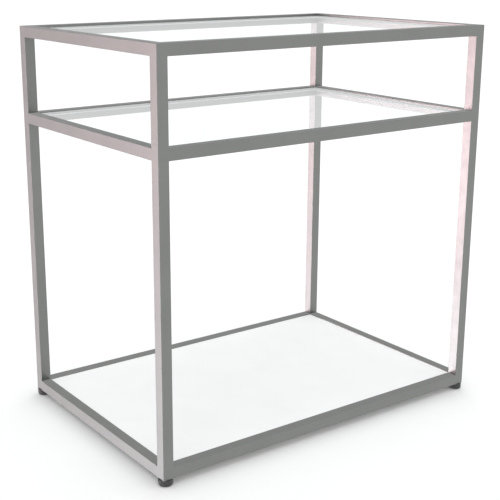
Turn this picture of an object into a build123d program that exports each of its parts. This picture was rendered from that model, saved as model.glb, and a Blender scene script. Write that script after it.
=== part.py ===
from build123d import *
import os

# Shop display counter: a welded frame of square tube with a glass top, a glass shelf under it and
# a white base board, on four screw-in levelling feet. All lengths are in millimetres. The origin
# is on the floor under the middle of the frame, +Z is up, +X is right and -Y faces the front.

# Overall sizes, over the outside of the posts
width = 900.0
depth = 600.0
frame_height = 900.0
shelf_height = 700.0
foot_height = 15.0

# Square tube of the posts and rails, with its welds ground flush
tube = 25.0
tube_wall = 1.5
tube_corner = 0.8
bore_corner = 0.5
cap_thickness = 2.0

# Flat-bar ledges welded inside each ring
ledge_width = 12.0
ledge_thickness = 3.0

# Glass top and shelf, bedded on clear strips
glass_thickness = 6.0
top_glass_recess = 3.0
shelf_glass_recess = 1.5
glass_gap = 1.0
glass_arris = 0.8
glass_corner = 2.0
seal_width = 10.0
seal_thickness = 1.5

# Base board with an edge band on its four sides
board_thickness = 16.0
board_recess = 1.5
board_gap = 1.0
edging_thickness = 1.0
edging_round = 0.6

# Screws that hold the board down from below, two in each base ledge
screw_radius = 2.0
screw_length = 16.0
screw_tip_radius = 0.5
screw_head_radius = 4.0
screw_head_height = 2.2
screw_head_round = 1.0
screw_hole_gap = 0.25
pilot_gap = 0.05
pilot_end_gap = 0.5
screw_spread_x = 560.0
screw_spread_y = 320.0
drive_width = 0.8
drive_span = 4.0
drive_depth = 1.2

# Levelling feet: a threaded plug in each post, a stud with a round head, and a pad moulded on it
plug_height = 10.0
plug_corner = 1.5
stud_radius = 4.0
stud_reach = 25.0
stud_chamfer = 1.0
stud_head_radius = 6.5
stud_head_height = 4.0
stud_fit = 0.05
pad_radius = 16.0
pad_base_radius = 12.0
pad_curve_height = 6.0
pad_top_chamfer = 0.8
pad_top_gap = 0.3
pad_floor = 4.0
pad_hollow_radius = 8.0
pad_hollow_depth = 0.6

# Levels and spans that follow from the sizes above
base_rail_top = foot_height + tube
shelf_rail_top = foot_height + shelf_height
top_rail_top = foot_height + frame_height
bore = tube - 2 * tube_wall
inner_width = width - 2 * tube
inner_depth = depth - 2 * tube
post_x = (width - tube) / 2
post_y = (depth - tube) / 2
top_glass_top = top_rail_top - top_glass_recess
shelf_glass_top = shelf_rail_top - shelf_glass_recess
board_top = base_rail_top - board_recess
board_seat = board_top - board_thickness
screw_seat = board_seat - ledge_thickness

corners = {
    "front_left": (-1, -1),
    "front_right": (1, -1),
    "back_left": (-1, 1),
    "back_right": (1, 1),
}
sides = {"front": (0, -1), "back": (0, 1), "left": (-1, 0), "right": (1, 0)}
on_its_foot = (Align.CENTER, Align.CENTER, Align.MIN)
under_its_top = (Align.CENTER, Align.CENTER, Align.MAX)


def at_post(sx, sy, shape):
    """Move a shape made on the origin to the axis of one post."""
    return Pos(sx * post_x, sy * post_y, 0) * shape


def bar(side, section, across, inset, long_x, long_y, middle):
    """A section swept along one side of the frame, between the posts.

    The bar is across wide and set in from the frame's outside by inset. It is long_x long on the
    front and back, long_y on the left and right, and middle is the height of the section's centre.
    """
    sx, sy = sides[side]
    along_x = sx == 0
    place = (sx * (width / 2 - inset - across / 2), sy * (depth / 2 - inset - across / 2), middle)
    if along_x:
        place = (0, place[1], middle)
        plane = Plane(origin=place, x_dir=(0, 1, 0), z_dir=(1, 0, 0))
    else:
        place = (place[0], 0, middle)
        plane = Plane(origin=place, x_dir=(1, 0, 0), z_dir=(0, -1, 0))
    return extrude(plane * section, (long_x if along_x else long_y) / 2, both=True)


def rail(side, top):
    """One tube rail between two posts, flush with their outer and inner faces."""
    section = RectangleRounded(tube, tube, tube_corner) - RectangleRounded(bore, bore, bore_corner)
    return bar(side, section, tube, 0, inner_width, inner_depth, top - tube / 2)


def ledge(side, top):
    """One flat-bar ledge: the front and back ones run through, the side ones butt on them."""
    section = Rectangle(ledge_width, ledge_thickness)
    short = inner_depth - 2 * ledge_width
    return bar(side, section, ledge_width, tube, inner_width, short, top - ledge_thickness / 2)


def glass_ledge(side, glass_top):
    """The ledge that carries a pane on its strip."""
    return ledge(side, glass_top - glass_thickness - seal_thickness)


def seal(side, glass_top):
    """One clear strip between a ledge and a pane, its outer edge in line with the pane's."""
    section = Rectangle(seal_width, seal_thickness)
    long_x = inner_width - 2 * glass_gap
    long_y = inner_depth - 2 * glass_gap - 2 * seal_width
    middle = glass_top - glass_thickness - seal_thickness / 2
    return bar(side, section, seal_width, tube + glass_gap, long_x, long_y, middle)


def post(sx, sy):
    """One post: its outer edge is rounded all the way, its other edges only between the rings."""
    square = Rectangle(tube, tube)
    outer = [v for v in square.vertices() if v.X * sx > 0 and v.Y * sy > 0]
    joined = fillet(outer, tube_corner)
    free = RectangleRounded(tube, tube, tube_corner)
    bands = [
        (foot_height, base_rail_top, joined),
        (base_rail_top, shelf_rail_top - tube, free),
        (shelf_rail_top - tube, shelf_rail_top, joined),
        (shelf_rail_top, top_rail_top - tube, free),
        (top_rail_top - tube, top_rail_top - cap_thickness, joined),
    ]
    body = Part()
    for low, high, section in bands:
        body += Pos(0, 0, low) * extrude(section, high - low)
    body -= extrude(RectangleRounded(bore, bore, bore_corner), top_rail_top)
    return at_post(sx, sy, body)


def post_cap(sx, sy):
    """The plate that closes a post, rounded only at the frame's outer corner."""
    plate = Box(tube, tube, cap_thickness, align=under_its_top)
    near_side = tube / 2 - tube_corner
    rounded = []
    for edge in plate.edges():
        middle = edge.center()
        on_x_side = middle.X * sx > near_side
        on_y_side = middle.Y * sy > near_side
        on_top = middle.Z > -cap_thickness / 4
        if (on_x_side and on_y_side) or (on_top and (on_x_side or on_y_side)):
            rounded.append(edge)
    return at_post(sx, sy, Pos(0, 0, top_rail_top) * fillet(rounded, tube_corner))


def pane(top):
    """A glass pane with ground edges and dubbed corners."""
    sheet = Box(inner_width - 2 * glass_gap, inner_depth - 2 * glass_gap, glass_thickness)
    sheet = fillet(sheet.edges().filter_by(Axis.Z), glass_corner)
    faces = sheet.faces().sort_by(Axis.Z)
    rims = faces[0].edges() + faces[-1].edges()
    return Pos(0, 0, top - glass_thickness / 2) * chamfer(rims, glass_arris)


def screw_places():
    """Where the board's screws stand: a pair on the middle line of each base ledge."""
    line_x = (inner_width - ledge_width) / 2
    line_y = (inner_depth - ledge_width) / 2
    places = []
    for a in (-1, 1):
        for b in (-1, 1):
            places.append((a * screw_spread_x / 2, b * line_y))
            places.append((a * line_x, b * screw_spread_y / 2))
    return places


def drilled(shape, radius, low, high):
    """A shape with a round hole at every screw place, from one height to another."""
    for x, y in screw_places():
        shape -= Pos(x, y, low) * Cylinder(radius, high - low, align=on_its_foot)
    return shape


def base_ledge(side):
    """A ledge under the board, with its clearance holes."""
    return drilled(ledge(side, board_seat), screw_radius + screw_hole_gap, screw_seat, board_seat)


def board():
    """The board's core, with a pilot hole for each screw."""
    core_width = inner_width - 2 * board_gap - 2 * edging_thickness
    core_depth = inner_depth - 2 * board_gap - 2 * edging_thickness
    core = Pos(0, 0, board_seat) * Box(core_width, core_depth, board_thickness, align=on_its_foot)
    pilot_top = screw_seat + screw_length + pilot_end_gap
    return drilled(core, screw_radius + pilot_gap, board_seat, pilot_top)


def edging(side):
    """The band on one edge of the board, its upper outer corner eased."""
    sx, sy = sides[side]
    section = Rectangle(edging_thickness, board_thickness)
    eased = [v for v in section.vertices() if v.Y > 0 and v.X * (sx + sy) > 0]
    section = fillet(eased, edging_round)
    long_x = inner_width - 2 * board_gap
    long_y = inner_depth - 2 * board_gap - 2 * edging_thickness
    middle = board_seat + board_thickness / 2
    return bar(side, section, edging_thickness, tube + board_gap, long_x, long_y, middle)


def screw():
    """One pan-head screw, its head seated at height 0, with a cross recess and a tapered tip."""
    shank = Cylinder(screw_radius, screw_length - screw_radius, align=on_its_foot)
    tip = Cone(screw_radius, screw_tip_radius, screw_radius, align=on_its_foot)
    head = Cylinder(screw_head_radius, screw_head_height, align=under_its_top)
    head = fillet(head.edges().sort_by(Axis.Z)[0], screw_head_round)
    slot = Box(drive_span, drive_width, drive_depth, align=on_its_foot)
    cross = slot + Rot(0, 0, 90) * slot
    body = shank + Pos(0, 0, screw_length - screw_radius) * tip + head
    return body - Pos(0, 0, -screw_head_height) * cross


def plug(sx, sy):
    """The threaded plug welded in the foot end of a post."""
    section = RectangleRounded(bore, bore, plug_corner) - Circle(stud_radius + stud_fit)
    return at_post(sx, sy, Pos(0, 0, foot_height) * extrude(section, plug_height))


def turned(sx, sy, outline):
    """A round piece on the axis of a post, from its half outline of radius and height."""
    return at_post(sx, sy, revolve(Plane.XZ * make_face(outline), Axis.Z))


def foot_stud(sx, sy):
    """The stud of a levelling foot, with the round head that the pad is moulded on."""
    head_low = pad_floor + stud_fit
    head_high = head_low + stud_head_height
    tip = foot_height + stud_reach
    outline = Polyline(
        (0, head_low),
        (stud_head_radius, head_low),
        (stud_head_radius, head_high),
        (stud_radius, head_high),
        (stud_radius, tip - stud_chamfer),
        (stud_radius - stud_chamfer, tip),
        (0, tip),
        close=True,
    )
    return turned(sx, sy, outline)


def foot_pad(sx, sy):
    """The round pad of a levelling foot: a curved lower edge and a pocket for the stud's head."""
    top = foot_height - pad_top_gap
    pocket_radius = stud_head_radius + stud_fit
    pocket_top = pad_floor + stud_head_height + 2 * stud_fit
    neck = stud_radius + stud_fit
    curve = EllipticalCenterArc(
        (pad_base_radius, pad_curve_height),
        pad_radius - pad_base_radius,
        pad_curve_height,
        start_angle=270,
        arc_size=90,
    )
    rest = Polyline(
        (pad_radius, pad_curve_height),
        (pad_radius, top - pad_top_chamfer),
        (pad_radius - pad_top_chamfer, top),
        (neck, top),
        (neck, pocket_top),
        (pocket_radius, pocket_top),
        (pocket_radius, pad_floor),
        (0, pad_floor),
        (0, pad_hollow_depth),
        (pad_hollow_radius, pad_hollow_depth),
        (pad_hollow_radius, 0),
        (pad_base_radius, 0),
    )
    return turned(sx, sy, curve + rest)


def save(name, shape):
    """Write one sub-part to its STEP file."""
    export_step(shape, os.path.join("parts", name + ".step"))


def build():
    """Make every sub-part and write it out."""
    os.makedirs("parts", exist_ok=True)
    for name, (sx, sy) in corners.items():
        save("post_" + name, post(sx, sy))
        save("post_cap_" + name, post_cap(sx, sy))
        save("foot_stud_" + name, foot_stud(sx, sy))
        save("foot_pad_" + name, foot_pad(sx, sy))
    for name in sides:
        save("top_rail_" + name, rail(name, top_rail_top))
        save("shelf_rail_" + name, rail(name, shelf_rail_top))
        save("base_rail_" + name, rail(name, base_rail_top))
        save("top_ledge_" + name, glass_ledge(name, top_glass_top))
        save("shelf_ledge_" + name, glass_ledge(name, shelf_glass_top))
        save("base_ledge_" + name, base_ledge(name))
        save("top_seal_" + name, seal(name, top_glass_top))
        save("shelf_seal_" + name, seal(name, shelf_glass_top))
        save("panel_edge_" + name, edging(name))
    save("glass_top", pane(top_glass_top))
    save("glass_shelf", pane(shelf_glass_top))
    save("base_panel", board())
    screws = [Pos(x, y, screw_seat) * screw() for x, y in screw_places()]
    save("panel_screws", Compound(children=screws))
    plugs = [plug(sx, sy) for sx, sy in corners.values()]
    save("foot_inserts", Compound(children=plugs))


build()
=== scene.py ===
"""The looks of a shop display counter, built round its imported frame.

A welded frame of square tube in satin grey powder coat carries a glass top, a glass shelf and
a white base board, and stands on four black levelling feet. Lengths are in metres, +Z is up, the
counter stands on the floor round the origin and its front faces -Y.
"""
import math

import bmesh
import bpy
from mathutils import Matrix, Vector


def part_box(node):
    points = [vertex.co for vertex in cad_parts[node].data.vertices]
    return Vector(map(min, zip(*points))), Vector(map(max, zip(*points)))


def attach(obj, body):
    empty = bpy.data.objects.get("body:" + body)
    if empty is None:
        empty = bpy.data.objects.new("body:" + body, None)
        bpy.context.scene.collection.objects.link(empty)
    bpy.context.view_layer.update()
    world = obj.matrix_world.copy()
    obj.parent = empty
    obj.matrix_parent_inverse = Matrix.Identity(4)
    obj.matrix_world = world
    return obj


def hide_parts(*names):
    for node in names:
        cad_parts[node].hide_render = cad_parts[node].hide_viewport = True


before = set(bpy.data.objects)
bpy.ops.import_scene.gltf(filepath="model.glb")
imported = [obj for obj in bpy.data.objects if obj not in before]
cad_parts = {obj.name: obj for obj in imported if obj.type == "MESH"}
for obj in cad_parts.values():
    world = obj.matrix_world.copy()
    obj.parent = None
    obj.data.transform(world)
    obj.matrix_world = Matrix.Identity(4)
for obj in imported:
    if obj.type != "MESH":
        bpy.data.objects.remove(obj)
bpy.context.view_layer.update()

MM = 0.001
SIDES = ("front", "back", "left", "right")
CORNERS = ("front_left", "front_right", "back_left", "back_right")
RINGS = ("top", "shelf", "base")
PANE_RINGS = ("top", "shelf")               # the rings that hold a pane of glass

# Camera, fitted to the corners of the counter in a picture of 500 by 500 pixels
CAMERA_PLACE = (-1.47607, -1.96943, 1.07780)
CAMERA_HEADING = math.radians(35.3316)      # from +Y towards +X
CAMERA_DIP = math.radians(15.2661)          # below the horizon
CAMERA_LENS = 74.932
CAMERA_SENSOR = 36.0
CAMERA_SHIFT = (0.049374, -0.026927)

# Weld beads
CORNER_BEAD_RADIUS = 1.6 * MM
CORNER_BEAD_INSET = 2.5 * MM                # from the faces that are ground flush
STITCH_BEAD_RADIUS = 1.3 * MM
STITCH_LENGTH = 22 * MM
STITCH_SPACING = 150 * MM
RIPPLE_LENGTH = 1.5 * MM
RIPPLE_DEPTH = 0.16                         # of the bead's radius
RIPPLE_STEPS = 5.0                          # points along each ripple
BEAD_SIDES = 10
BEAD_END = 0.35                             # of the bead's radius, where it tapers off

# Panel screws, spread along the ledges that they go up through
SCREW_SPREAD_LONG = 560 * MM
SCREW_SPREAD_SHORT = 320 * MM
SCREW_HEAD_HEIGHT = 2.2 * MM
SCREW_HEAD_RADIUS = 4 * MM
SCREW_SHANK_RADIUS = 1.9 * MM
SCREW_TIP = 0.6                             # of the shank's radius, at its upper end
SCREW_HEAD_SIDES = 32
SCREW_SHANK_SIDES = 20
CROSS_WIDTH = 0.9 * MM
CROSS_DEPTH = 1.2 * MM
CROSS_LENGTH = 1.05                         # of the head's radius, from end to end
MERGE_DISTANCE = 0.001 * MM
TURN_SEED = 7                               # draws how far each screw is turned

# Studs of the levelling feet
STUD_RADIUS = 4 * MM
STUD_PITCH = 1.25 * MM
STUD_HEAD_RADIUS = 6.5 * MM
STUD_HEAD_HEIGHT = 4 * MM
STUD_CHAMFER = 1 * MM
THREAD_DEPTH = 0.61                         # of the pitch
THREAD_CREST, THREAD_ROOT = 1 / 8, 1 / 4    # widths of its flats, of the pitch
THREAD_STEPS = 10.0                         # rings of points along each turn
THREAD_SIDES = 36
STUD_HEAD_SIDES = 6

# Strips that the panes lie on
STRIP_ROUNDING = 0.35 * MM
STRIP_ROUNDING_STEPS = 3
STRIP_CLEARANCE = 0.03 * MM                 # keeps the strip's top off the glass

# Edges of grown pieces that are sharper than this angle stay sharp
CREASE = math.radians(35)
THREAD_CREASE = math.radians(80)

# Where most values of a noise pattern lie
NOISE_LOW, NOISE_HIGH = 0.3, 0.7

# The two tones that each finish drifts between
COAT_TONES = (0.208, 0.214, 0.208, 1), (0.238, 0.244, 0.236, 1)
TAPE_TONES = (0.70, 0.715, 0.715, 1), (0.76, 0.775, 0.775, 1)
FACING_TONES = (0.875, 0.875, 0.872, 1), (0.90, 0.90, 0.90, 1)
BAND_TONES = (0.85, 0.85, 0.845, 1), (0.88, 0.88, 0.88, 1)
ZINC_TONES = (0.60, 0.63, 0.67, 1), (0.72, 0.71, 0.66, 1)
MOULDING_TONES = (0.034, 0.034, 0.035, 1), (0.056, 0.056, 0.057, 1)
GLASS_RIM_TONES = (0.47, 0.78, 0.73, 1), (0.43, 0.75, 0.70, 1)
GLASS_TINTS = (0.957, 0.990, 0.9925, 1), (0.950, 0.987, 0.990, 1)   # of what one face lets through
GLASS_SHADOW_TINT = (0.965, 0.97, 0.968, 1)
FLAKE_CONTRAST = 0.35                       # of the difference between the coat's two tones

# Nodes left out of reflections, which would only cloud the panes and the pale faces of the posts
UNMIRRORED = ("post_", "glass_", "base_panel", "panel_edge_")

# Panes: how strongly both faces mirror at most, and how far in from its edges a pane is green
GLASS_IOR = 1.52
GLASS_SHINE_LIMIT = 0.52
GLASS_RIM = 1.2 * MM

# Floor: the tone of its paint, the little glow that takes it to the backdrop's white, its size
FLOOR_TONE = 0.92
FLOOR_GLOW = 0.03
FLOOR_RADIUS = 60.0
FLOOR_SIDES = 96

# Soft lamp, high on the right and a little behind
LAMP_ENERGY = 0.62
LAMP_ANGLE = math.radians(60)
LAMP_TURN = (math.radians(-18), math.radians(24), 0)

# Soft reflectors that only gloss shows. Headings, from +Y towards -X, and widths are in degrees.
REFLECTORS = (
    {"heading": 51, "spread": 9, "softness": 4, "strength": 8.2,
     "colour": (1.0, 0.68, 0.74, 1), "low_colour": (1.05, 1.04, 1.1, 1)},
    {"heading": 150, "spread": 30, "softness": 20, "strength": 0.6,
     "colour": (1, 1, 1, 1), "low_colour": (1, 1, 1, 1)},
    {"heading": -90, "spread": 30, "softness": 20, "strength": 0.4,
     "colour": (1, 1, 1, 1), "low_colour": (1, 1, 1, 1)},
)

# How steep a glossy ray is, from -1 straight down to 1 straight up, where a reflector changes
LOW_START, LOW_END = -0.17, -0.40           # its low colour comes in
FADE_START, FADE_END = 0.04, 0.16           # it fades out upwards
DEEP_START, DEEP_END = -0.48, -0.62         # it fades out downwards


def grey(level):
    return (level, level, level, 1.0)


def node(tree, kind, inputs=None, **settings):
    """Adds a node with its settings and inputs. An input is a value or another node's socket."""
    made = tree.nodes.new(kind)
    for name, value in settings.items():
        setattr(made, name, value)
    for key, value in (inputs or {}).items():
        if isinstance(value, bpy.types.NodeSocket):
            tree.links.new(value, made.inputs[key])
        else:
            made.inputs[key].default_value = value
    return made


def maths(tree, operation, *values):
    return node(tree, "ShaderNodeMath", dict(enumerate(values)), operation=operation).outputs[0]


def ramp(tree, value, start, end, low=0.0, high=1.0, curve="LINEAR"):
    """Turns value, from start to end, into a number from low to high, and stops there."""
    inputs = {"Value": value, "From Min": start, "From Max": end, "To Min": low, "To Max": high}
    return node(tree, "ShaderNodeMapRange", inputs, interpolation_type=curve).outputs["Result"]


def blend(tree, amount, first, second):
    """The colour first where amount is 0, and second where it is 1."""
    mixed = node(tree, "ShaderNodeMix", {0: amount, 6: first, 7: second}, data_type="RGBA")
    return mixed.outputs[2]


class Finish:
    """A material being made: its tree, its Principled shader and the part's own coordinates."""

    def __init__(self, name, constants):
        self.material = bpy.data.materials.new(name)
        self.material.use_nodes = True
        self.tree = self.material.node_tree
        self.shader = self.tree.nodes["Principled BSDF"]
        for label, value in constants.items():
            self.shader.inputs[label].default_value = value
        self.place = node(self.tree, "ShaderNodeTexCoord").outputs["Object"]

    def stretched(self, scale):
        """The part's coordinates with each axis scaled, so that a pattern runs along one."""
        return node(self.tree, "ShaderNodeMapping",
                    {"Vector": self.place, "Scale": scale}).outputs["Vector"]

    def noise(self, size, detail=2.0, place=None):
        """Soft noise whose clouds are about size across."""
        inputs = {"Vector": place or self.place, "Scale": 1 / size, "Detail": detail}
        return node(self.tree, "ShaderNodeTexNoise", inputs).outputs["Fac"]

    def grains(self, size, place=None):
        """A random number for each small grain, about size across."""
        cells = node(self.tree, "ShaderNodeTexVoronoi",
                     {"Vector": place or self.place, "Scale": 1 / size})
        return node(self.tree, "ShaderNodeSeparateColor",
                    {"Color": cells.outputs["Color"]}).outputs["Red"]

    def spread(self, pattern, low, high):
        """A noise pattern stretched to run from low to high."""
        return ramp(self.tree, pattern, NOISE_LOW, NOISE_HIGH, low, high)

    def distance_from_middle(self):
        """How far a point lies from the middle planes: along X and along Y."""
        split = node(self.tree, "ShaderNodeSeparateXYZ", {"Vector": self.place})
        return [maths(self.tree, "ABSOLUTE", split.outputs[axis]) for axis in ("X", "Y")]

    def feed(self, label, socket):
        self.tree.links.new(socket, self.shader.inputs[label])

    def relief(self, height, depth):
        """Bumps of that depth wherever height goes from 0 to 1."""
        bump = node(self.tree, "ShaderNodeBump", {"Height": height, "Distance": depth})
        self.feed("Normal", bump.outputs["Normal"])


def satin_grey_powder_coat():
    """Metallic grey powder coat: fine flake, faint orange peel and very soft clouding."""
    coat = Finish("satin_grey_powder_coat", {"Metallic": 0.92, "Specular Tint": grey(0.74)})
    tree = coat.tree
    flake = ramp(tree, coat.grains(0.5 * MM), 0.0, 1.0, -FLAKE_CONTRAST, FLAKE_CONTRAST)
    clouds = coat.spread(coat.noise(70 * MM), 0.3, 0.7)
    tone = maths(tree, "ADD", clouds, flake)
    coat.feed("Base Color", blend(tree, tone, *COAT_TONES))
    smears = coat.spread(coat.noise(25 * MM, detail=3), 0.36, 0.41)
    coat.feed("Roughness", smears)
    coat.relief(coat.noise(1.4 * MM, detail=1), 0.012 * MM)
    return coat.material


def clear_float_glass():
    """Clear glass: a sheer pane that mirrors more the flatter it is seen, greener at its edges.

    The face that a ray meets first mirrors for both faces, and the ray then goes straight through.
    The Principled shader makes the rim alone.
    """
    glass = Finish("clear_float_glass", {"IOR": GLASS_IOR, "Transmission Weight": 0.5,
                                         "Roughness": 0.12})
    tree = glass.tree
    low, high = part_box("glass_top")
    across, deep = glass.distance_from_middle()
    rim = maths(tree, "MAXIMUM",
                ramp(tree, across, high.x - GLASS_RIM, high.x, curve="SMOOTHSTEP"),
                ramp(tree, deep, high.y - GLASS_RIM, high.y, curve="SMOOTHSTEP"))
    depth = glass.spread(glass.noise(180 * MM), 0.0, 1.0)
    glass.feed("Base Color", blend(tree, depth, *GLASS_RIM_TONES))
    through = node(tree, "ShaderNodeBsdfTransparent",
                   {"Color": blend(tree, depth, *GLASS_TINTS)})
    waves = node(tree, "ShaderNodeBump",
                 {"Height": glass.noise(240 * MM, detail=0), "Distance": 0.004 * MM})
    mirror = node(tree, "ShaderNodeBsdfAnisotropic",
                  {"Color": grey(1.0), "Roughness": 0.0, "Normal": waves.outputs["Normal"]})
    fresnel = node(tree, "ShaderNodeFresnel", {"IOR": GLASS_IOR}).outputs[0]
    both_faces = maths(tree, "DIVIDE", maths(tree, "MULTIPLY", fresnel, 2.0),
                       maths(tree, "ADD", fresnel, 1.0))
    inside = node(tree, "ShaderNodeNewGeometry").outputs["Backfacing"]
    outside = maths(tree, "SUBTRACT", 1.0, inside)
    shine = maths(tree, "MULTIPLY", maths(tree, "MINIMUM", both_faces, GLASS_SHINE_LIMIT), outside)
    face = node(tree, "ShaderNodeMixShader",
                {0: shine, 1: through.outputs["BSDF"], 2: mirror.outputs["BSDF"]})
    pane = node(tree, "ShaderNodeMixShader", {
        0: maths(tree, "MULTIPLY", rim, outside),
        1: face.outputs["Shader"],
        2: glass.shader.outputs["BSDF"],
    })
    passing = node(tree, "ShaderNodeBsdfTransparent", {"Color": GLASS_SHADOW_TINT})
    light_path = node(tree, "ShaderNodeLightPath")
    seen = node(tree, "ShaderNodeMixShader", {
        0: light_path.outputs["Is Shadow Ray"],
        1: pane.outputs["Shader"],
        2: passing.outputs["BSDF"],
    })
    tree.links.new(seen.outputs["Shader"], tree.nodes["Material Output"].inputs["Surface"])
    return glass.material


def bedding_tape():
    """Milky translucent strip, slightly uneven in tone and finely matt."""
    tape = Finish("milky_bedding_tape", {"Transmission Weight": 0.15, "IOR": 1.4})
    tone = tape.spread(tape.noise(12 * MM), 0.0, 1.0)
    tape.feed("Base Color", blend(tape.tree, tone, *TAPE_TONES))
    tape.feed("Roughness", tape.spread(tape.noise(3 * MM), 0.35, 0.5))
    tape.relief(tape.noise(0.8 * MM, detail=1), 0.02 * MM)
    return tape.material


def white_melamine():
    """White melamine facing with a fine pearl grain and a low sheen."""
    facing = Finish("white_melamine_facing", {"Specular IOR Level": 0.45})
    tone = facing.spread(facing.noise(90 * MM, detail=3), 0.0, 1.0)
    facing.feed("Base Color", blend(facing.tree, tone, *FACING_TONES))
    facing.feed("Roughness", facing.spread(facing.noise(6 * MM), 0.40, 0.50))
    facing.relief(facing.grains(0.7 * MM), 0.008 * MM)
    return facing.material


def white_edge_band():
    """White edge band with faint lines along the way it was drawn."""
    band = Finish("white_edge_band", {"Specular IOR Level": 0.5})
    lines = band.noise(1 * MM, place=band.stretched((0.02, 0.02, 1.0)))
    band.feed("Base Color", blend(band.tree, band.spread(lines, 0.0, 1.0), *BAND_TONES))
    band.feed("Roughness", band.spread(lines, 0.32, 0.42))
    band.relief(lines, 0.01 * MM)
    return band.material


def bright_zinc_plate():
    """Bright zinc plating over turned steel: cool and warm patches, and fine turning marks."""
    zinc = Finish("bright_zinc_plate", {"Metallic": 1.0})
    patches = zinc.spread(zinc.noise(4 * MM, detail=3), 0.0, 1.0)
    zinc.feed("Base Color", blend(zinc.tree, patches, *ZINC_TONES))
    zinc.feed("Roughness", zinc.spread(zinc.noise(1.5 * MM), 0.22, 0.36))
    marks = zinc.noise(0.25 * MM, place=zinc.stretched((0.05, 0.05, 1.0)))
    zinc.relief(marks, 0.006 * MM)
    return zinc.material


def black_moulding():
    """Matt black moulded plastic with a fine spark-eroded grain and slightly scuffed tone."""
    moulding = Finish("black_moulding", {"Specular IOR Level": 0.4})
    scuffs = moulding.spread(moulding.noise(5 * MM, detail=4), 0.0, 1.0)
    moulding.feed("Base Color", blend(moulding.tree, scuffs, *MOULDING_TONES))
    moulding.feed("Roughness", moulding.spread(moulding.noise(2 * MM), 0.5, 0.66))
    moulding.relief(moulding.grains(0.35 * MM), 0.02 * MM)
    return moulding.material


def link_object(name, mesh):
    piece = bpy.data.objects.new(name, mesh)
    bpy.context.scene.collection.objects.link(piece)
    return piece


def mesh_of(name, build):
    """A mesh that build(bm) fills, with its normals pointing outwards."""
    bm = bmesh.new()
    build(bm)
    bmesh.ops.recalc_face_normals(bm, faces=bm.faces)
    mesh = bpy.data.meshes.new(name)
    bm.to_mesh(mesh)
    bm.free()
    return mesh


SOCKET_KINDS = {int: "NodeSocketInt", float: "NodeSocketFloat", Vector: "NodeSocketVector",
                bpy.types.Material: "NodeSocketMaterial"}


def new_geometry_tree(name, sizes):
    """A geometry node tree with the named inputs. Returns the tree and its input sockets."""
    tree = bpy.data.node_groups.new(name, "GeometryNodeTree")
    tree.is_modifier = True
    tree.interface.new_socket("Geometry", in_out="INPUT", socket_type="NodeSocketGeometry")
    tree.interface.new_socket("Geometry", in_out="OUTPUT", socket_type="NodeSocketGeometry")
    for label, value in sizes.items():
        tree.interface.new_socket(label, in_out="INPUT", socket_type=SOCKET_KINDS[type(value)])
    return tree, node(tree, "NodeGroupInput").outputs


def finish_tree(tree, geometry, material, crease=CREASE):
    """Ends a tree: realised, smooth but for its creases, and in its material."""
    realised = node(tree, "GeometryNodeRealizeInstances", {"Geometry": geometry})
    smooth = node(tree, "GeometryNodeSetShadeSmooth", {"Geometry": realised.outputs[0]})
    angle = node(tree, "GeometryNodeInputMeshEdgeAngle").outputs["Unsigned Angle"]
    creased = node(tree, "GeometryNodeSetShadeSmooth", {
        "Geometry": smooth.outputs[0],
        "Selection": maths(tree, "GREATER_THAN", angle, crease),
        "Shade Smooth": False,
    }, domain="EDGE")
    coated = node(tree, "GeometryNodeSetMaterial",
                  {"Geometry": creased.outputs[0], "Material": material})
    node(tree, "NodeGroupOutput", {0: coated.outputs[0]})


def grow(name, tree, sizes, host):
    """Runs a tree on a host mesh with those sizes, and returns the result as a plain piece."""
    piece = link_object(name, host)
    modifier = piece.modifiers.new("grow", "NODES")
    modifier.node_group = tree
    identifiers = {item.name: item.identifier for item in tree.interface.items_tree
                   if item.in_out == "INPUT"}
    for label, value in sizes.items():
        modifier[identifiers[label]] = value
    evaluated = piece.evaluated_get(bpy.context.evaluated_depsgraph_get())
    mesh = bpy.data.meshes.new_from_object(evaluated)
    piece.modifiers.clear()
    piece.data = mesh
    mesh.name = name
    return piece


def host_lines(name, lines):
    """A mesh with one loose edge for each line, a pair of points."""
    mesh = bpy.data.meshes.new(name)
    points = [point for line in lines for point in line]
    mesh.from_pydata(points, [(i, i + 1) for i in range(0, len(points), 2)], [])
    return mesh


def weld_bead_tree(sizes):
    """A rippled bead along each edge of a mesh, tapering at its ends."""
    tree, given = new_geometry_tree("weld_bead", sizes)
    path = node(tree, "GeometryNodeMeshToCurve", {"Mesh": given["Geometry"]})
    step = maths(tree, "DIVIDE", given["Ripple Length"], RIPPLE_STEPS)
    path = node(tree, "GeometryNodeResampleCurve",
                {"Curve": path.outputs["Curve"], "Length": step}, mode="LENGTH")
    run = node(tree, "GeometryNodeSplineParameter").outputs["Length"]
    whole = node(tree, "GeometryNodeSplineLength").outputs["Length"]
    turns = maths(tree, "DIVIDE", run, given["Ripple Length"])
    wave = maths(tree, "ABSOLUTE", maths(tree, "SINE", maths(tree, "MULTIPLY", turns, math.pi)))
    trough = maths(tree, "SUBTRACT", 1.0, given["Ripple Depth"])
    ripple = ramp(tree, wave, 0.0, 1.0, trough, 1.0)
    to_end = maths(tree, "MINIMUM", run, maths(tree, "SUBTRACT", whole, run))
    taper = ramp(tree, to_end, 0.0, given["Bead Radius"], BEAD_END, 1.0, curve="SMOOTHSTEP")
    radius = maths(tree, "MULTIPLY", given["Bead Radius"], maths(tree, "MULTIPLY", ripple, taper))
    section = node(tree, "GeometryNodeCurvePrimitiveCircle",
                   {"Resolution": BEAD_SIDES, "Radius": 1.0})
    bead = node(tree, "GeometryNodeCurveToMesh", {
        "Curve": path.outputs["Curve"],
        "Profile Curve": section.outputs["Curve"],
        "Scale": radius,
        "Fill Caps": True,
    })
    finish_tree(tree, bead.outputs["Mesh"], given["Material"])
    return tree


def rail_axes(side):
    """Which axis a rail runs along, and which one goes across it."""
    return (0, 1) if side in ("front", "back") else (1, 0)


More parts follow.
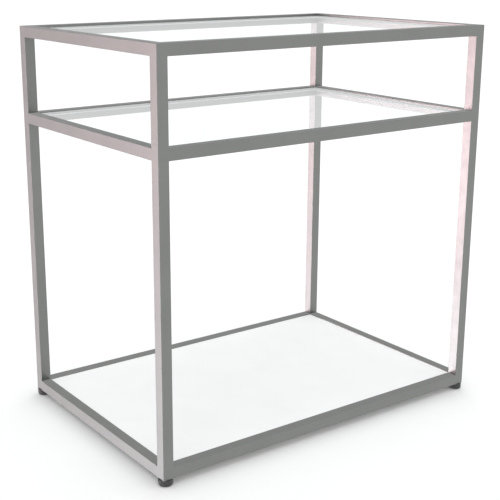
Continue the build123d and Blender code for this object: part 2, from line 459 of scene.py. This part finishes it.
def corner_seams():
    """Under both ends of the top and shelf rails: the line where a rail meets its post."""
    seams = []
    for ring in PANE_RINGS:
        for side in SIDES:
            low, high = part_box(f"{ring}_rail_{side}")
            along, across = rail_axes(side)
            for end in (low[along], high[along]):
                start, stop = Vector((0, 0, low.z)), Vector((0, 0, low.z))
                start[along] = stop[along] = end
                start[across] = low[across] + CORNER_BEAD_INSET
                stop[across] = high[across] - CORNER_BEAD_INSET
                seams.append((start, stop))
    return seams


def ledge_stitches():
    """Short runs, evenly spread, where the underside of each ledge meets its rail."""
    stitches = []
    for ring in RINGS:
        for side in SIDES:
            low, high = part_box(f"{ring}_ledge_{side}")
            along, across = rail_axes(side)
            wall = low[across] if side in ("front", "left") else high[across]
            count = round((high[along] - low[along]) / STITCH_SPACING)
            gap = (high[along] - low[along]) / count
            for number in range(count):
                middle = low[along] + gap * (number + 0.5)
                start, stop = Vector((0, 0, low.z)), Vector((0, 0, low.z))
                start[across] = stop[across] = wall
                start[along] = middle - STITCH_LENGTH / 2
                stop[along] = middle + STITCH_LENGTH / 2
                stitches.append((start, stop))
    return stitches


def add_welds(coat):
    """The beads that are left to see: under the rails' ends and under the ledges."""
    sizes = {
        "Bead Radius": CORNER_BEAD_RADIUS,
        "Ripple Length": RIPPLE_LENGTH,
        "Ripple Depth": RIPPLE_DEPTH,
        "Material": coat,
    }
    tree = weld_bead_tree(sizes)
    beads = grow("rail_corner_welds", tree, sizes, host_lines("corner_seams", corner_seams()))
    stitch_sizes = dict(sizes, **{"Bead Radius": STITCH_BEAD_RADIUS})
    stitches = grow("ledge_stitch_welds", tree, stitch_sizes,
                    host_lines("ledge_seams", ledge_stitches()))
    for piece in (beads, stitches):
        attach(piece, "frame")


def screw_places():
    """Where the panel screws go up through the middle of the base ledges."""
    places = []
    for side in SIDES:
        low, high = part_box(f"base_ledge_{side}")
        along, across = rail_axes(side)
        spread = SCREW_SPREAD_LONG if along == 0 else SCREW_SPREAD_SHORT
        for end in (-1, 1):
            place = Vector((0, 0, low.z))
            place[along] = end * spread / 2
            place[across] = (low[across] + high[across]) / 2
            places.append(place)
    return places


def panel_screw_tree(sizes):
    """A cross-head screw at each point of a mesh, its head below the point, each turned anew."""
    tree, given = new_geometry_tree("panel_screw", sizes)
    radius, height = given["Head Radius"], given["Head Height"]
    ball = node(tree, "GeometryNodeMeshUVSphere",
                {"Segments": SCREW_HEAD_SIDES, "Rings": SCREW_HEAD_SIDES // 2, "Radius": 1.0})
    split = node(tree, "ShaderNodeSeparateXYZ",
                 {"Vector": node(tree, "GeometryNodeInputPosition").outputs[0]})
    dome = node(tree, "ShaderNodeCombineXYZ", {
        "X": maths(tree, "MULTIPLY", split.outputs["X"], radius),
        "Y": maths(tree, "MULTIPLY", split.outputs["Y"], radius),
        "Z": maths(tree, "MULTIPLY", maths(tree, "MINIMUM", split.outputs["Z"], 0.0), height),
    })
    head = node(tree, "GeometryNodeSetPosition",
                {"Geometry": ball.outputs["Mesh"], "Position": dome.outputs["Vector"]})
    head = node(tree, "GeometryNodeMergeByDistance",
                {"Geometry": head.outputs["Geometry"], "Distance": MERGE_DISTANCE})
    arm = maths(tree, "MULTIPLY", radius, CROSS_LENGTH)
    lengths = ((arm, given["Drive Width"]), (given["Drive Width"], arm))
    cut = head.outputs["Geometry"]
    depth = maths(tree, "MULTIPLY", given["Drive Depth"], 2.0)
    for length, width in lengths:
        size = node(tree, "ShaderNodeCombineXYZ", {"X": length, "Y": width, "Z": depth})
        bar = node(tree, "GeometryNodeMeshCube", {"Size": size.outputs["Vector"]})
        place = node(tree, "ShaderNodeCombineXYZ", {"Z": maths(tree, "MULTIPLY", height, -1.0)})
        bar = node(tree, "GeometryNodeTransform",
                   {"Geometry": bar.outputs["Mesh"], "Translation": place.outputs["Vector"]})
        recess = node(tree, "GeometryNodeMeshBoolean", {"Mesh 1": cut, "Mesh 2": bar.outputs[0]},
                      operation="DIFFERENCE")
        cut = recess.outputs["Mesh"]
    shank = node(tree, "GeometryNodeMeshCone", {
        "Vertices": SCREW_SHANK_SIDES,
        "Side Segments": 1,
        "Radius Bottom": given["Shank Radius"],
        "Radius Top": maths(tree, "MULTIPLY", given["Shank Radius"], SCREW_TIP),
        "Depth": given["Shank Length"],
    })
    whole = node(tree, "GeometryNodeJoinGeometry", {"Geometry": cut})
    tree.links.new(shank.outputs["Mesh"], whole.inputs["Geometry"])
    turn = node(tree, "FunctionNodeRandomValue", {3: math.tau, "Seed": TURN_SEED},
                data_type="FLOAT")
    rotation = node(tree, "FunctionNodeAxisAngleToRotation",
                    {"Axis": (0, 0, 1), "Angle": turn.outputs[1]})
    points = node(tree, "GeometryNodeMeshToPoints", {"Mesh": given["Geometry"]})
    screws = node(tree, "GeometryNodeInstanceOnPoints", {
        "Points": points.outputs["Points"],
        "Instance": whole.outputs["Geometry"],
        "Rotation": rotation.outputs["Rotation"],
    })
    finish_tree(tree, screws.outputs["Instances"], given["Material"])
    return tree


def add_panel_screws(zinc):
    low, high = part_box("panel_screws")
    shank_length = high.z - low.z - SCREW_HEAD_HEIGHT
    sizes = {
        "Head Radius": SCREW_HEAD_RADIUS,
        "Head Height": SCREW_HEAD_HEIGHT,
        "Drive Width": CROSS_WIDTH,
        "Drive Depth": CROSS_DEPTH,
        "Shank Radius": SCREW_SHANK_RADIUS,
        "Shank Length": shank_length,
        "Material": zinc,
    }
    tree = panel_screw_tree(sizes)
    mesh = bpy.data.meshes.new("screw_places")
    mesh.from_pydata(screw_places(), [], [])
    screws = grow("panel_screws_cross_head", tree, sizes, mesh)
    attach(screws, "frame")
    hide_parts("panel_screws")


def threaded_stud_tree(sizes):
    """A headed stud with a rolled right-hand thread, standing on the point Foot."""
    tree, given = new_geometry_tree("threaded_stud", sizes)
    radius, length = given["Thread Radius"], given["Thread Length"]
    rings = maths(tree, "MULTIPLY", maths(tree, "DIVIDE", length, given["Pitch"]), THREAD_STEPS)
    rod = node(tree, "GeometryNodeMeshCylinder", {
        "Vertices": THREAD_SIDES,
        "Side Segments": rings,
        "Radius": radius,
        "Depth": length,
    })
    position = node(tree, "GeometryNodeInputPosition").outputs[0]
    split = node(tree, "ShaderNodeSeparateXYZ", {"Vector": position})
    x, y, z = (split.outputs[axis] for axis in "XYZ")
    turn = maths(tree, "DIVIDE", maths(tree, "ARCTAN2", y, x), math.tau)
    rise = maths(tree, "DIVIDE", z, given["Pitch"])
    phase = maths(tree, "FRACT", maths(tree, "SUBTRACT", rise, turn))
    slope = maths(tree, "ABSOLUTE", maths(tree, "MULTIPLY_ADD", phase, 2.0, -1.0))
    groove = ramp(tree, slope, THREAD_CREST, 1 - THREAD_ROOT)
    depth = maths(tree, "MULTIPLY", given["Pitch"], THREAD_DEPTH)
    carved = maths(tree, "SUBTRACT", radius, maths(tree, "MULTIPLY", groove, depth))
    to_tip = maths(tree, "SUBTRACT", maths(tree, "DIVIDE", length, 2.0), z)
    blunted = maths(tree, "ADD", maths(tree, "SUBTRACT", radius, given["Chamfer"]), to_tip)
    share = maths(tree, "DIVIDE", maths(tree, "MINIMUM", carved, blunted), radius)
    scale = node(tree, "ShaderNodeCombineXYZ", {"X": share, "Y": share, "Z": 1.0})
    place = node(tree, "ShaderNodeVectorMath", {0: position, 1: scale.outputs[0]},
                 operation="MULTIPLY")
    thread = node(tree, "GeometryNodeSetPosition",
                  {"Geometry": rod.outputs["Mesh"], "Position": place.outputs["Vector"]})
    lift = maths(tree, "ADD", given["Head Height"], maths(tree, "DIVIDE", length, 2.0))
    raised = node(tree, "GeometryNodeTransform", {
        "Geometry": thread.outputs["Geometry"],
        "Translation": node(tree, "ShaderNodeCombineXYZ", {"Z": lift}).outputs["Vector"],
    })
    head = node(tree, "GeometryNodeMeshCylinder", {
        "Vertices": STUD_HEAD_SIDES,
        "Radius": given["Head Radius"],
        "Depth": given["Head Height"],
    })
    half = maths(tree, "DIVIDE", given["Head Height"], 2.0)
    seated = node(tree, "GeometryNodeTransform", {
        "Geometry": head.outputs["Mesh"],
        "Translation": node(tree, "ShaderNodeCombineXYZ", {"Z": half}).outputs["Vector"],
    })
    both = node(tree, "GeometryNodeJoinGeometry", {"Geometry": raised.outputs["Geometry"]})
    tree.links.new(seated.outputs["Geometry"], both.inputs["Geometry"])
    placed = node(tree, "GeometryNodeTransform",
                  {"Geometry": both.outputs["Geometry"], "Translation": given["Foot"]})
    finish_tree(tree, placed.outputs["Geometry"], given["Material"], crease=THREAD_CREASE)
    return tree


def add_studs(zinc):
    """The four studs of the levelling feet, each with its thread."""
    tree = None
    for corner in CORNERS:
        low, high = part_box("foot_stud_" + corner)
        sizes = {
            "Foot": Vector(((low.x + high.x) / 2, (low.y + high.y) / 2, low.z)),
            "Thread Radius": STUD_RADIUS,
            "Thread Length": high.z - low.z - STUD_HEAD_HEIGHT,
            "Pitch": STUD_PITCH,
            "Chamfer": STUD_CHAMFER,
            "Head Radius": STUD_HEAD_RADIUS,
            "Head Height": STUD_HEAD_HEIGHT,
            "Material": zinc,
        }
        tree = tree or threaded_stud_tree(sizes)
        empty = bpy.data.meshes.new("stud_host")
        stud = grow("threaded_stud_" + corner, tree, sizes, empty)
        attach(stud, "foot_stud_" + corner)
        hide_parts("foot_stud_" + corner)


def add_bedding_strips(tape):
    """Each strip between a ledge and a pane, with its edges rounded over."""
    for ring in PANE_RINGS:
        for side in SIDES:
            name = f"{ring}_seal_{side}"
            low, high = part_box(name)
            high = high - Vector((0, 0, STRIP_CLEARANCE))
            size = high - low
            place = Matrix.Translation((low + high) / 2) @ Matrix.Diagonal((*size, 1.0))

            def build(bm):
                bmesh.ops.create_cube(bm, size=1.0, matrix=place)
                bmesh.ops.bevel(bm, geom=list(bm.edges), offset=STRIP_ROUNDING,
                                segments=STRIP_ROUNDING_STEPS, profile=0.5, affect="EDGES")

            strip = link_object(name + "_strip", mesh_of(name, build))
            strip.data.materials.append(tape)
            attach(strip, "frame")
            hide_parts(name)


def dress_frame(finishes):
    """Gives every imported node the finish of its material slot."""
    for name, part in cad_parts.items():
        part.visible_glossy = not name.startswith(UNMIRRORED)
        for held in part.material_slots:
            held.material = finishes[held.material.name]


def add_floor():
    """A pale floor that reads as white where no shadow falls, and can't be seen from below."""
    material = bpy.data.materials.new("pale_floor")
    material.use_nodes = True
    tree = material.node_tree
    tree.nodes.clear()
    light_path = node(tree, "ShaderNodeLightPath").outputs
    seen = maths(tree, "ADD", light_path["Is Camera Ray"], light_path["Is Transmission Ray"])
    glow_strength = maths(tree, "MULTIPLY", seen, FLOOR_GLOW)
    matt = node(tree, "ShaderNodeBsdfDiffuse", {"Color": grey(FLOOR_TONE)})
    glow = node(tree, "ShaderNodeEmission", {"Strength": glow_strength})
    above = node(tree, "ShaderNodeAddShader", {0: matt.outputs[0], 1: glow.outputs[0]})
    below = node(tree, "ShaderNodeBsdfTransparent")
    underside = node(tree, "ShaderNodeNewGeometry").outputs["Backfacing"]
    shown = node(tree, "ShaderNodeMixShader",
                 {0: underside, 1: above.outputs[0], 2: below.outputs[0]})
    node(tree, "ShaderNodeOutputMaterial", {"Surface": shown.outputs[0]})

    def build(bm):
        bmesh.ops.create_circle(bm, cap_ends=True, segments=FLOOR_SIDES, radius=FLOOR_RADIUS)

    floor = link_object("floor", mesh_of("floor", build))
    if floor.data.polygons[0].normal.z < 0:
        floor.data.flip_normals()
    floor.data.materials.append(material)
    floor.visible_glossy = False


def reflector(tree, direction, light):
    """The colour that one soft reflector adds to a glossy ray in that direction.

    It is an upright band round its heading, which fades out upwards and far downwards.
    """
    heading = math.radians(light["heading"])
    axis = (-math.sin(heading), math.cos(heading), 0)
    level = node(tree, "ShaderNodeVectorMath", {0: direction, 1: (1, 1, 0)}, operation="MULTIPLY")
    level = node(tree, "ShaderNodeVectorMath", {0: level.outputs["Vector"]},
                 operation="NORMALIZE")
    dot = node(tree, "ShaderNodeVectorMath", {0: level.outputs["Vector"], 1: axis},
               operation="DOT_PRODUCT")
    outer = math.cos(math.radians(light["spread"] + light["softness"]))
    inner = math.cos(math.radians(light["spread"] - light["softness"]))
    height_of_ray = node(tree, "ShaderNodeSeparateXYZ", {"Vector": direction}).outputs["Z"]
    fading = maths(tree, "MULTIPLY",
                   ramp(tree, height_of_ray, FADE_START, FADE_END, light["strength"], 0.0,
                        curve="SMOOTHSTEP"),
                   ramp(tree, height_of_ray, DEEP_START, DEEP_END, 1.0, 0.0, curve="SMOOTHSTEP"))
    amount = maths(tree, "MULTIPLY", fading,
                   ramp(tree, dot.outputs["Value"], outer, inner, curve="SMOOTHSTEP"))
    lowness = ramp(tree, height_of_ray, LOW_START, LOW_END, curve="SMOOTHSTEP")
    colour = blend(tree, lowness, light["colour"], light["low_colour"])
    return node(tree, "ShaderNodeVectorMath", {0: colour, "Scale": amount},
                operation="SCALE").outputs["Vector"]


def add_studio_light():
    """An even white surround, soft reflectors for the gloss and one soft lamp from above."""
    world = bpy.data.worlds.new("pale_studio")
    world.use_nodes = True
    tree = world.node_tree
    direction = node(tree, "ShaderNodeTexCoord").outputs["Generated"]
    added = None
    for light in REFLECTORS:
        colour = reflector(tree, direction, light)
        if added:
            colour = node(tree, "ShaderNodeVectorMath", {0: added, 1: colour}).outputs["Vector"]
        added = colour
    gloss = node(tree, "ShaderNodeLightPath").outputs["Is Glossy Ray"]
    added = node(tree, "ShaderNodeVectorMath", {0: added, "Scale": gloss}, operation="SCALE")
    whole = node(tree, "ShaderNodeVectorMath", {0: (1, 1, 1), 1: added.outputs["Vector"]})
    background = tree.nodes["Background"]
    tree.links.new(whole.outputs["Vector"], background.inputs["Color"])
    background.inputs["Strength"].default_value = 1.0
    world.cycles.sampling_method = "NONE"
    bpy.context.scene.world = world
    sun = bpy.data.lights.new("soft_lamp", "SUN")
    sun.energy = LAMP_ENERGY
    sun.angle = LAMP_ANGLE
    lamp = link_object("soft_lamp", sun)
    lamp.rotation_euler = LAMP_TURN
    lamp.visible_glossy = False


def add_camera():
    """The camera of the picture: where it stands, how it is turned, its lens and its shift."""
    ahead = Vector((math.sin(CAMERA_HEADING) * math.cos(CAMERA_DIP),
                    math.cos(CAMERA_HEADING) * math.cos(CAMERA_DIP),
                    -math.sin(CAMERA_DIP)))
    right = Vector((math.cos(CAMERA_HEADING), -math.sin(CAMERA_HEADING), 0))
    turn = Matrix((right, right.cross(ahead), -ahead)).transposed().to_4x4()
    lens = bpy.data.cameras.new("camera")
    lens.sensor_width = CAMERA_SENSOR
    lens.lens = CAMERA_LENS
    lens.shift_x, lens.shift_y = CAMERA_SHIFT
    camera = link_object("camera", lens)
    camera.matrix_world = Matrix.Translation(CAMERA_PLACE) @ turn
    bpy.context.scene.camera = camera


coat = satin_grey_powder_coat()
zinc = bright_zinc_plate()
tape = bedding_tape()
dress_frame({
    "frame_metal": coat,
    "clear_glass": clear_float_glass(),
    "clear_seal": tape,
    "white_board": white_melamine(),
    "white_edging": white_edge_band(),
    "zinc_steel": zinc,
    "black_pad": black_moulding(),
})
add_bedding_strips(tape)
add_welds(coat)
add_panel_screws(zinc)
add_studs(zinc)
add_floor()
add_studio_light()
add_camera()
bpy.context.scene.view_settings.view_transform = "Standard"
